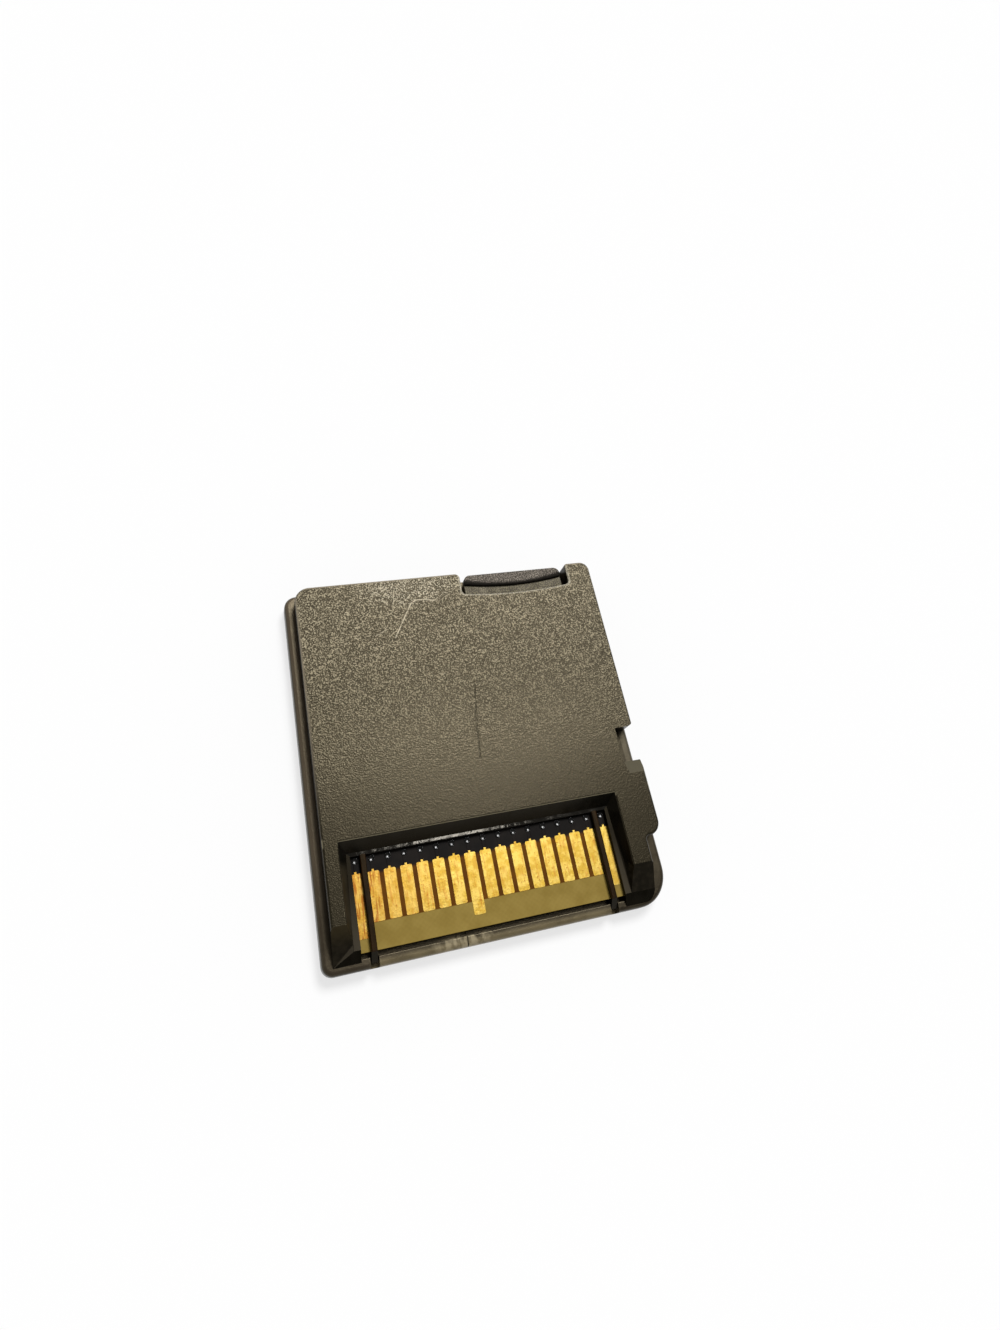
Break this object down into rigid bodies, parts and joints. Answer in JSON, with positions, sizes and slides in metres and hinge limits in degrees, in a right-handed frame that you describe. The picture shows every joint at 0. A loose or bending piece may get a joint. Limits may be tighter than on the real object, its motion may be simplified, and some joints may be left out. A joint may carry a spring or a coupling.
{
  "type": "game cartridge",
  "caption": "Flat handheld-console game cartridge with recessed gold edge contacts, a side lock notch and a push-push memory-card slot with its card.",
  "frame": {"origin": "centre of the label face, on the table", "axes": "+Z out of the contact face, +Y towards the memory-card slot end, contacts at the -Y end, +X to the right seen from the contact side"},
  "size_m": [0.033, 0.035, 0.0038],
  "materials": {
    "shell_plastic": "finely grained moulded plastic, worn",
    "label_paper": "bare satin sticker",
    "laminate": "bare laminate at the contacts, dark solder mask elsewhere",
    "gold": "gold plating with light wear",
    "card_plastic": "moulded card body",
    "socket_plastic": "moulded socket body",
    "slider_plastic": "natural moulded plastic",
    "steel": "stainless sheet and wire",
    "chip_plastic": "chip package",
    "tin": "tinned ends and leads",
    "can": "metal can",
    "ferrite": "ferrite body",
    "capacitor_ceramic": "ceramic body",
    "resistor_ceramic": "coated ceramic body"
  },
  "bodies": {
    "cartridge": {"front_shell": "shell_plastic", "rear_shell": "shell_plastic", "label": "label_paper", "circuit_board": "laminate", "edge_contacts": "gold", "socket_housing": "socket_plastic", "socket_shield": "steel", "socket_terminals": "gold", "detect_blade": "steel", "eject_spring": "steel", "latch_pin": "steel", "controller_chip": "chip_plastic", "memory_chip": "chip_plastic", "memory_chip_leads": "tin", "voltage_regulator": "chip_plastic", "regulator_leads": "tin", "crystal": "can", "inductor": "ferrite", "capacitors": "capacitor_ceramic", "capacitor_ends": "tin", "resistors": "resistor_ceramic", "resistor_ends": "tin"},
    "eject_slider": {"eject_slider": "slider_plastic"},
    "memory_card": {"memory_card": "card_plastic", "memory_card_contacts": "gold"}
  },
  "joints": [
    {"name": "eject_slide", "type": "slide", "parent": "cartridge", "child": "eject_slider", "axis": [0, 1, 0], "range_m": [-0.0006, 0.0034], "stiffness_N_per_m": 150, "deforming": ["eject_spring"]},
    {"name": "card_slide", "type": "slide", "parent": "eject_slider", "child": "memory_card", "axis": [0, 1, 0], "range_m": [0, 0.0085]}
  ]
}
